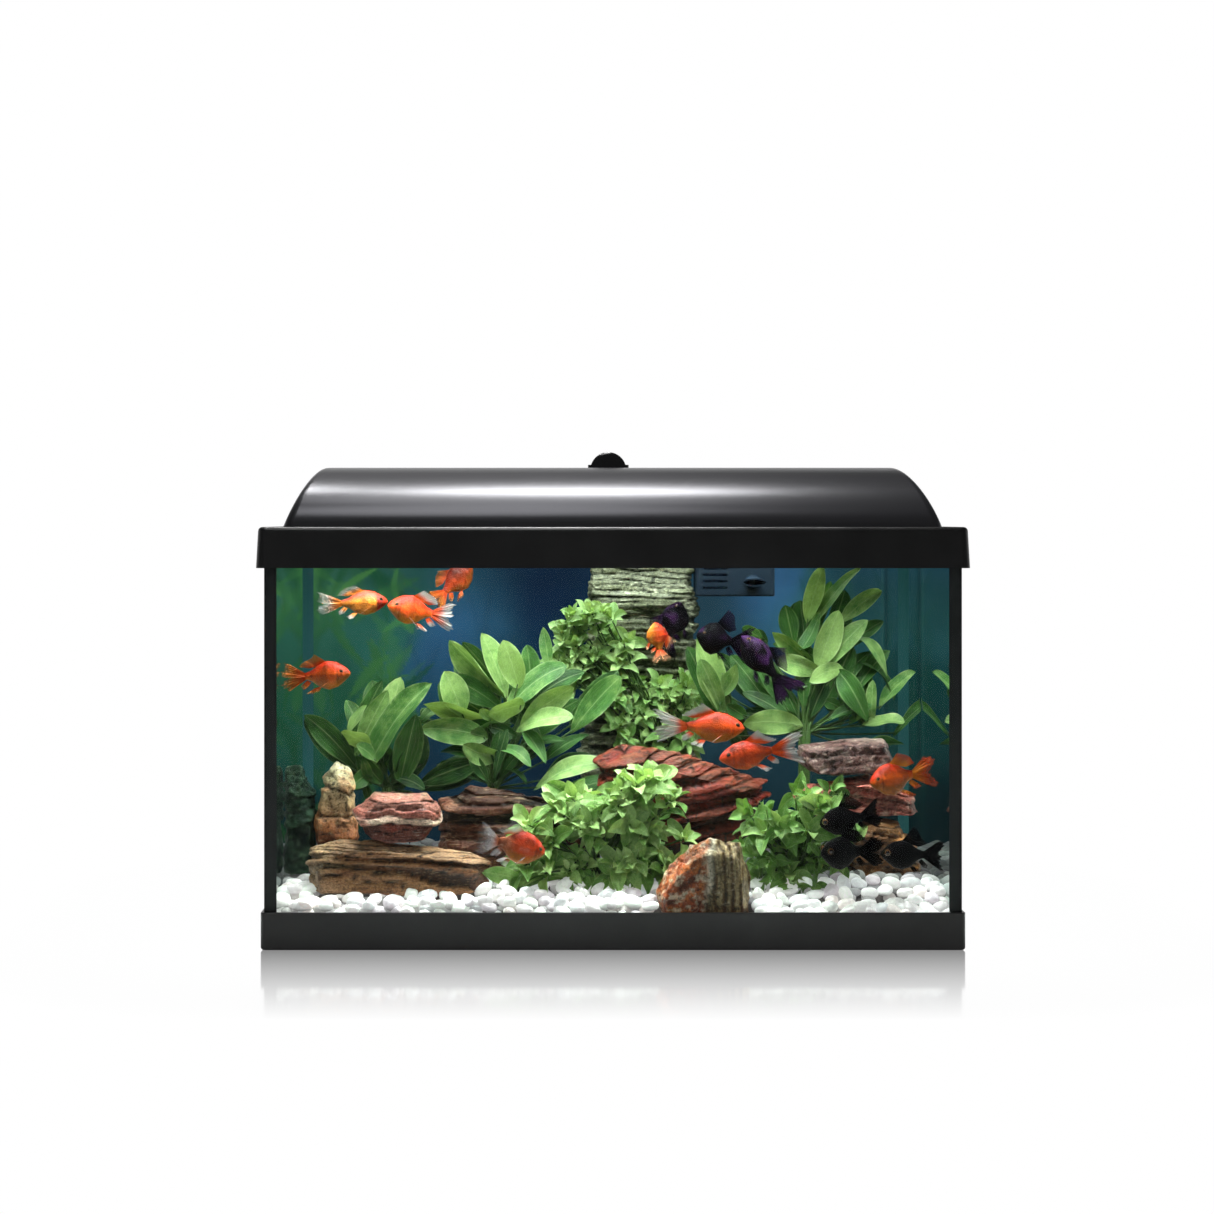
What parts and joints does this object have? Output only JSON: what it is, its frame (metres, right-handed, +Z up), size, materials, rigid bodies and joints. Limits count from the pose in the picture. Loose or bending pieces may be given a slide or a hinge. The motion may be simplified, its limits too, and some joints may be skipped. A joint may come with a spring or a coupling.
{
  "type": "glass aquarium tank",
  "caption": "Framed glass aquarium with a domed lighting hood, hinged lid and feeding hatch, internal filter, pebble bed, rockwork, plants and goldfish.",
  "frame": {"origin": "centre of the base frame's underside, on the surface the tank stands on", "axes": "+X along the tank's length to the right seen from the front, -Y towards the viewer (front pane), +Z up"},
  "size_m": [0.5114, 0.2733, 0.361],
  "materials": {
    "frame_plastic": "fine satin moulded plastic",
    "lid_plastic": "fine-grained satin metallic-grey plastic",
    "knob_plastic": "gloss",
    "clear_glass": "polished float glass",
    "black_silicone": "tooled silicone",
    "backdrop_print": "printed film",
    "marble_pebbles": "tumbled marble",
    "brown_stone": "layered petrified wood",
    "pink_stone": "layered pink stone",
    "red_stone": "fractured red slate",
    "granite_stone": "speckled granite",
    "cream_stone": "thin-bedded limestone",
    "moss_stone": "mossy stone",
    "leaf_green": "waxy leaf",
    "orange_fish": "scaled skin",
    "black_fish": "scaled skin",
    "bright_steel": "bright",
    "white_enamel": "white reflector enamel",
    "lamp_glass": "phosphor-coated glass tube",
    "cap_aluminium": "spun",
    "white_plastic": "moulded",
    "clear_plastic": "clear polystyrene",
    "cable_black": "satin flex",
    "fitting_black": "moulded",
    "rocker_grey": "moulded",
    "filter_foam": "open-cell foam",
    "shaft_ceramic": "ground",
    "cup_rubber": "soft"
  },
  "bodies": {
    "tank": {"base_frame": "frame_plastic", "front_pane": "clear_glass", "rear_pane": "clear_glass", "left_pane": "clear_glass", "right_pane": "clear_glass", "bottom_pane": "clear_glass", "corner_silicone": "black_silicone", "bottom_silicone": "black_silicone", "backdrop_film": "backdrop_print", "gravel_bed": "marble_pebbles", "log_rock": "brown_stone", "brown_rock": "brown_stone", "cave_rock": "brown_stone", "split_rock": "brown_stone", "upright_rock": "brown_stone", "pink_rock": "pink_stone", "lower_slab_rock": "pink_stone", "red_slate_rock": "red_stone", "upper_slab_rock": "granite_stone", "tower_rock": "cream_stone", "moss_rock": "moss_stone", "broadleaf_plant_left": "leaf_green", "broadleaf_plant_centre": "leaf_green", "broadleaf_plant_right": "leaf_green", "bush_plant_front": "leaf_green", "bush_plant_right": "leaf_green", "bush_plant_tower": "leaf_green", "orange_goldfish": "orange_fish", "black_goldfish": "black_fish", "impeller_cover": "white_plastic", "filter_cable": "cable_black", "filter_plug": "fitting_black", "filter_canister": "fitting_black", "filter_head": "fitting_black", "filter_sponge": "filter_foam", "impeller_shaft": "shaft_ceramic", "suction_cups": "cup_rubber"},
    "hood": {"hood_frame": "frame_plastic", "hinge_pins": "bright_steel", "lamp_tray": "white_enamel", "tray_screws": "bright_steel", "lamp_tube": "lamp_glass", "lamp_end_caps": "cap_aluminium", "lamp_sockets": "white_plastic", "tube_clips": "white_plastic", "splash_cover": "clear_plastic", "ballast_box": "fitting_black", "lamp_cable": "cable_black", "cord_switch": "fitting_black", "lamp_plug": "fitting_black"},
    "switch": {"switch_rocker": "rocker_grey"},
    "lid": {"lid": "lid_plastic", "hatch_pin": "bright_steel"},
    "hatch": {"feeding_hatch": "lid_plastic", "hatch_knob": "knob_plastic", "knob_screw": "bright_steel"},
    "impeller": {"impeller": "white_plastic"},
    "nozzle": {"outlet_nozzle": "rocker_grey"},
    "flow_knob": {"flow_knob": "rocker_grey"}
  },
  "joints": [
    {"name": "hood_lift", "type": "slide", "parent": "tank", "child": "hood", "axis": [0, 0, 1], "range_m": [0, 0.08]},
    {"name": "lid_hinge", "type": "hinge", "parent": "hood", "child": "lid", "pos_m": [0, 0.1226, 0.307], "axis": [-1, 0, 0], "range_deg": [0, 80]},
    {"name": "hatch_hinge", "type": "hinge", "parent": "lid", "child": "hatch", "pos_m": [0, 0.091, 0.3423], "axis": [-1, 0, 0], "range_deg": [0, 95]},
    {"name": "switch_rock", "type": "hinge", "parent": "hood", "child": "switch", "pos_m": [-0.105, 0.1375, 0.178], "axis": [1, 0, 0], "range_deg": [-6, 6]},
    {"name": "impeller_spin", "type": "hinge", "parent": "tank", "child": "impeller", "pos_m": [0.118, 0.098, 0.258], "axis": [0, 0, 1], "continuous": true},
    {"name": "nozzle_swivel", "type": "hinge", "parent": "tank", "child": "nozzle", "pos_m": [0.118, 0.0785, 0.2578], "axis": [0, -1, 0], "range_deg": [-45, 45]},
    {"name": "flow_knob_turn", "type": "hinge", "parent": "tank", "child": "flow_knob", "pos_m": [0.084, 0.098, 0.2854], "axis": [0, 0, 1], "range_deg": [0, 180]}
  ]
}
